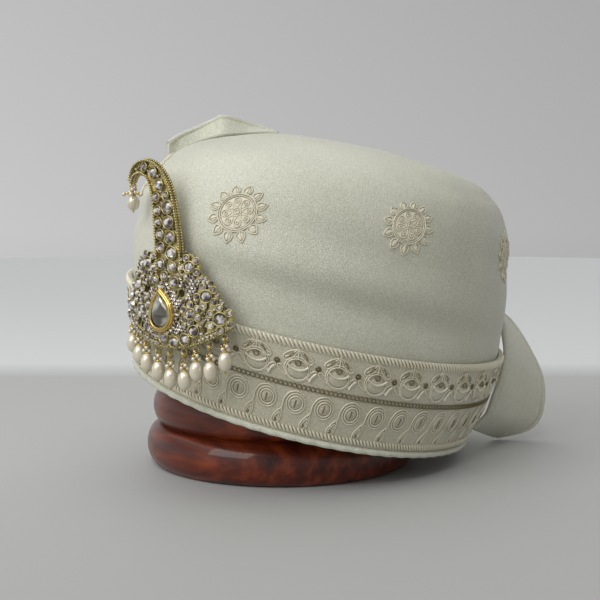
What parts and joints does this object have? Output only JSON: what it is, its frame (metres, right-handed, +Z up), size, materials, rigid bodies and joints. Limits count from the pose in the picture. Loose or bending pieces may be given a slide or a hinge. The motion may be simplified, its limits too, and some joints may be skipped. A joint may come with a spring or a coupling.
{
  "type": "tied turban pagri with a jewelled plume brooch on a turned wooden stand",
  "caption": "Ivory satin tied turban with an embroidered border band, a jewelled gold plume brooch with pearl drops and satin tails, resting askew on a low turned wooden stand.",
  "frame": {"origin": "centre of the stand's foot, on the surface that it stands on", "axes": "+Z up; the front of the turban with its brooch faces -Y; +X is the wearer's left"},
  "size_m": [0.1897, 0.2567, 0.1895],
  "materials": {
    "satin": "ivory satin with a soft sheen",
    "embroidery": "ivory ground with dull gold thread embroidery",
    "gold": "aged gold plate",
    "crystal": "cut clear glass with a foiled back",
    "pearl": "cream pearl lustre",
    "wood": "red brown gloss lacquer"
  },
  "bodies": {
    "turban_on_stand": {"stand_base": "wood", "stand_post": "wood", "crown": "satin", "top_fold": "satin", "back_loop": "satin", "border_band": "embroidery", "brooch_setting": "gold", "brooch_pin": "gold", "centre_stone": "crystal", "plume_stone_01": "crystal", "plume_stone_02": "crystal", "plume_stone_03": "crystal", "plume_stone_04": "crystal", "plume_stone_05": "crystal", "plume_stone_06": "crystal", "plume_stone_07": "crystal", "plume_stone_08": "crystal", "plume_stone_09": "crystal", "plume_stone_10": "crystal", "plume_stone_11": "crystal", "plume_stone_12": "crystal", "plume_stone_13": "crystal", "lower_stone_01": "crystal", "lower_stone_02": "crystal", "lower_stone_03": "crystal", "lower_stone_04": "crystal", "rosette_stone_01": "crystal", "rosette_stone_02": "crystal", "rosette_stone_03": "crystal", "rosette_stone_04": "crystal", "rosette_stone_05": "crystal", "rosette_stone_06": "crystal", "rosette_stone_07": "crystal", "rosette_stone_08": "crystal", "pearl_drop_01": "pearl", "pearl_drop_02": "pearl", "pearl_drop_03": "pearl", "pearl_drop_04": "pearl", "pearl_drop_05": "pearl", "pearl_drop_06": "pearl", "pearl_drop_07": "pearl", "pearl_drop_08": "pearl", "pearl_drop_09": "pearl"},
    "tip_pearl": {"tip_drop": "pearl"}
  },
  "joints": [
    {"name": "tip_drop_swing", "type": "hinge", "parent": "turban_on_stand", "child": "tip_pearl", "pos_m": [0.00432, -0.10231, 0.14899], "axis": [0.9803, -0.1973, 0], "range_deg": [-60, 25]}
  ]
}
